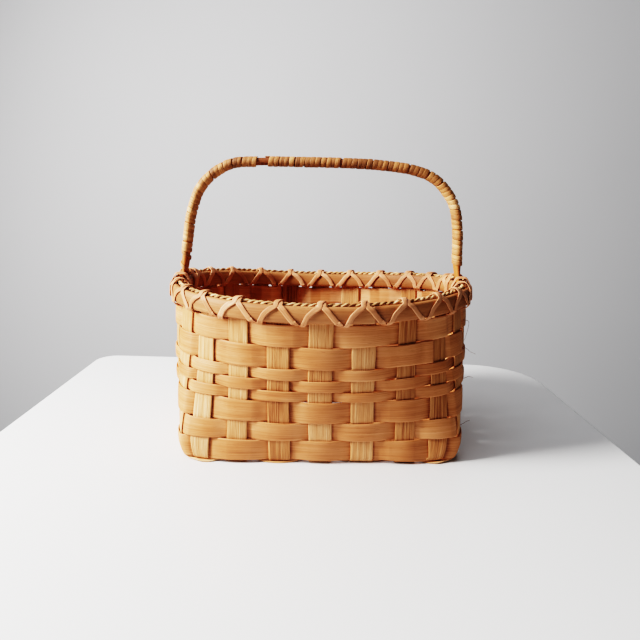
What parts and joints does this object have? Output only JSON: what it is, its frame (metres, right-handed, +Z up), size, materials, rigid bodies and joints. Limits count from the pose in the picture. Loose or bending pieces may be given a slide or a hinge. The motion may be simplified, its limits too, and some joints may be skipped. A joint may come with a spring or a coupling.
{
  "type": "splint basket",
  "caption": "Woven splint market basket with a rectangular base, an oval laced rim and one fixed arched handle wound with splint.",
  "frame": {"origin": "centre of the base, on the surface that the basket stands on", "axes": "+X along the length to the right end as the picture shows it, -Y to the front, +Z up"},
  "size_m": [0.3494, 0.26, 0.3171],
  "materials": {
    "stake": "bare split ash, vertical grain ridges",
    "weaver": "bare split ash, fine lengthwise grain",
    "hoop": "bare shaved wood, aged",
    "lacing": "thin glossy cane strip",
    "filler": "twisted dried grass cord, matt",
    "handle": "bare shaved wood, darkened by hands",
    "wrap": "thin flat splint, aged"
  },
  "bodies": {
    "root": {"front_to_back_stake_1": "stake", "front_to_back_stake_2": "stake", "front_to_back_stake_3": "stake", "front_to_back_stake_4": "stake", "front_to_back_stake_5": "stake", "front_to_back_stake_6": "stake", "front_to_back_stake_7": "stake", "end_to_end_stake_1": "stake", "end_to_end_stake_2": "stake", "end_to_end_stake_3": "stake", "end_to_end_stake_4": "stake", "end_to_end_stake_5": "stake", "weaver_row_1": "weaver", "weaver_row_2": "weaver", "weaver_row_3": "weaver", "weaver_row_4": "weaver", "weaver_row_5": "weaver", "weaver_row_6": "weaver", "weaver_row_7": "weaver", "weaver_row_8": "weaver", "weaver_row_9": "weaver", "outer_rim_hoop": "hoop", "inner_rim_hoop": "hoop", "rim_filler": "filler", "rim_lacing_first_pass": "lacing", "rim_lacing_return_pass": "lacing", "handle": "handle", "handle_wrap_left": "wrap", "handle_wrap_right": "wrap"}
  },
  "joints": []
}
